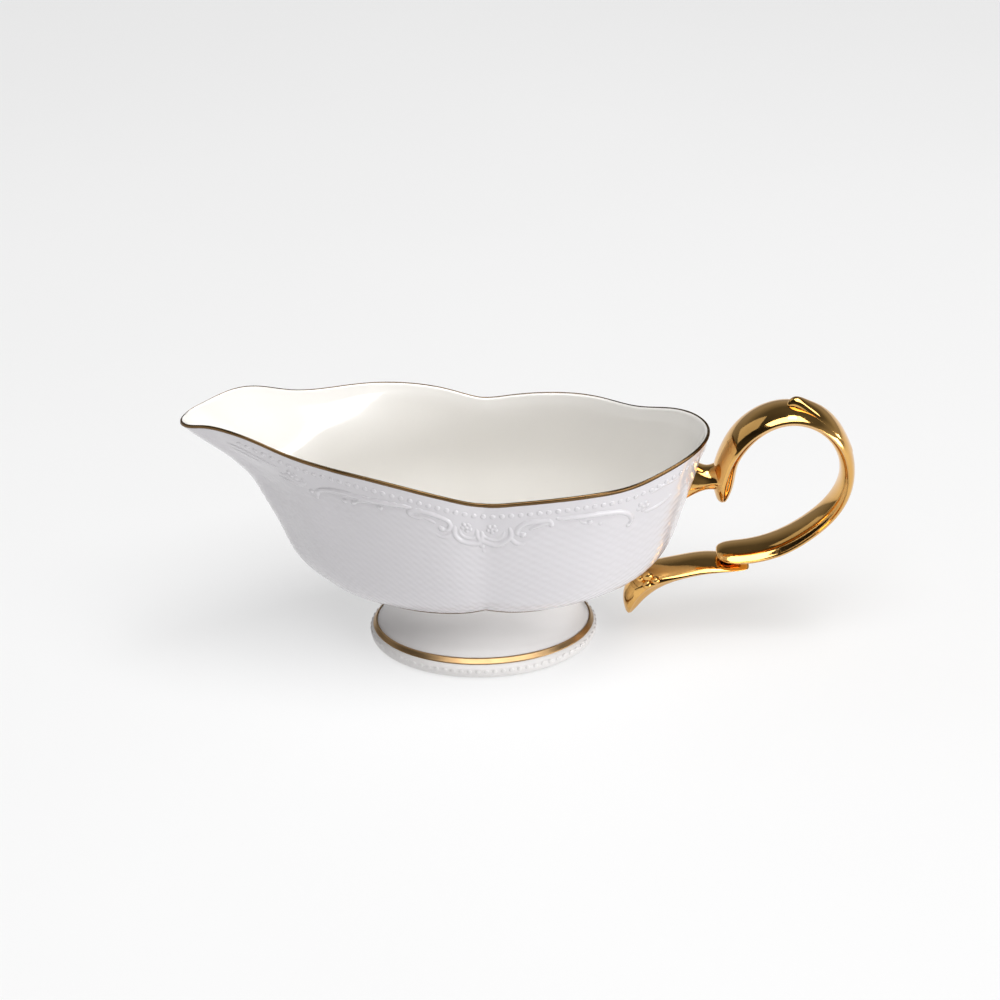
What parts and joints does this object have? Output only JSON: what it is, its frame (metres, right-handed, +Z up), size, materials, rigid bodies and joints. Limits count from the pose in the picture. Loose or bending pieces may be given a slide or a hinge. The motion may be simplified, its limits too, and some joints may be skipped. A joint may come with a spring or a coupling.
{
  "type": "cream jug",
  "caption": "Footed boat-shaped porcelain cream jug with a scalloped gilt rim, long pouring spout, beaded oval foot and a gilded loop handle.",
  "frame": {"origin": "middle of the foot's underside, on the surface that the jug stands on", "axes": "+Z up, +X from the spout towards the handle, +Y across the jug"},
  "size_m": [0.2354, 0.0796, 0.0922],
  "materials": {
    "glazed_porcelain": "high gloss clear glaze over white porcelain",
    "fired_gold": "thin burnished gold band fired on the glaze",
    "gilded_porcelain": "porcelain with a bright mirror gold fired all over"
  },
  "bodies": {
    "root": {"bowl": "glazed_porcelain", "foot": "glazed_porcelain", "rim_bead_row": "glazed_porcelain", "foot_bead_row": "glazed_porcelain", "rim_gilding": "fired_gold", "foot_gilding": "fired_gold", "handle_loop": "gilded_porcelain", "handle_neck": "gilded_porcelain", "handle_lower_leaf": "gilded_porcelain", "thumb_leaf": "gilded_porcelain"}
  },
  "joints": []
}
